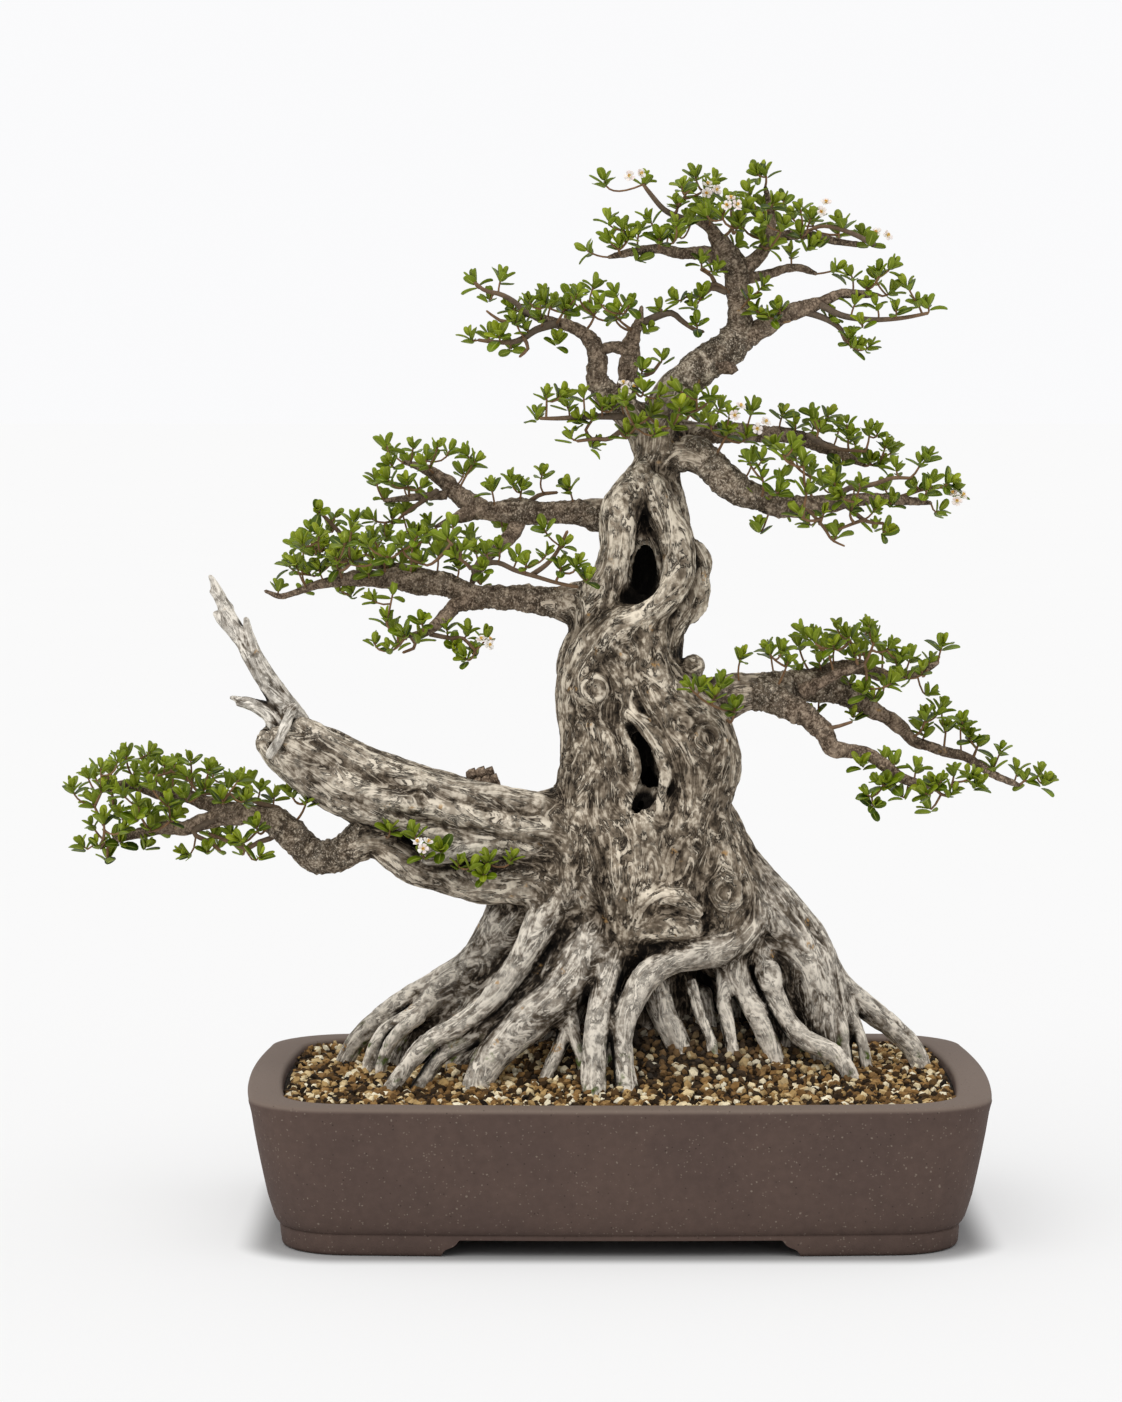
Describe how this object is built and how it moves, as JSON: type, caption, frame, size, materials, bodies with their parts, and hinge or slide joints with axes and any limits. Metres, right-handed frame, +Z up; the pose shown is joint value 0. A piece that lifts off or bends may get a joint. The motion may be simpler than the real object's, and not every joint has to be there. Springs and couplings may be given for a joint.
{
  "type": "potted bonsai tree",
  "caption": "Old bonsai tree with a fluted trunk, exposed roots, a dead side limb and small-leaved branches, in a shallow rectangular clay pot.",
  "frame": {"origin": "centre of the whole model's footprint, on the surface that the pot's feet stand on", "axes": "+Z up, along the tree's height; the front, where the roots and the trunk's old wounds show, faces -Y; +X to the right, away from the dead limb; the pot's short side runs along Y"},
  "size_m": [0.4828, 0.252, 0.514],
  "materials": {
    "fired_clay": "matte",
    "gravel_soil": "matte",
    "bark": "matte",
    "leaf_green": "satin",
    "petal_white": "matte",
    "screen_plastic": "matte",
    "clip_wire": "satin"
  },
  "bodies": {
    "root": {"pot": "fired_clay", "soil": "gravel_soil", "tree_wood": "bark", "foliage_low_left": "leaf_green", "foliage_left": "leaf_green", "foliage_left_front": "leaf_green", "foliage_left_hanging": "leaf_green", "foliage_upper_left": "leaf_green", "foliage_upper_left_inner": "leaf_green", "foliage_left_middle": "leaf_green", "foliage_low_back": "leaf_green", "foliage_twin_stems": "leaf_green", "foliage_neck_left": "leaf_green", "foliage_centre": "leaf_green", "foliage_back": "leaf_green", "foliage_right_top": "leaf_green", "foliage_right_middle": "leaf_green", "foliage_right_tip": "leaf_green", "foliage_low_right": "leaf_green", "foliage_low_right_front": "leaf_green", "foliage_low_right_far": "leaf_green", "foliage_lowest_right": "leaf_green", "foliage_crown": "leaf_green", "foliage_crown_right": "leaf_green", "foliage_crown_left_low": "leaf_green", "foliage_crown_front": "leaf_green", "foliage_limb_outer": "leaf_green", "foliage_limb_inner": "leaf_green", "flower_01": "petal_white", "flower_02": "petal_white", "flower_03": "petal_white", "flower_04": "petal_white", "flower_05": "petal_white", "flower_06": "petal_white", "flower_07": "petal_white", "flower_08": "petal_white", "flower_09": "petal_white", "flower_10": "petal_white", "flower_11": "petal_white", "drainage_screen_left": "screen_plastic", "drainage_screen_right": "screen_plastic", "screen_clip_left": "clip_wire", "screen_clip_right": "clip_wire"}
  },
  "joints": []
}
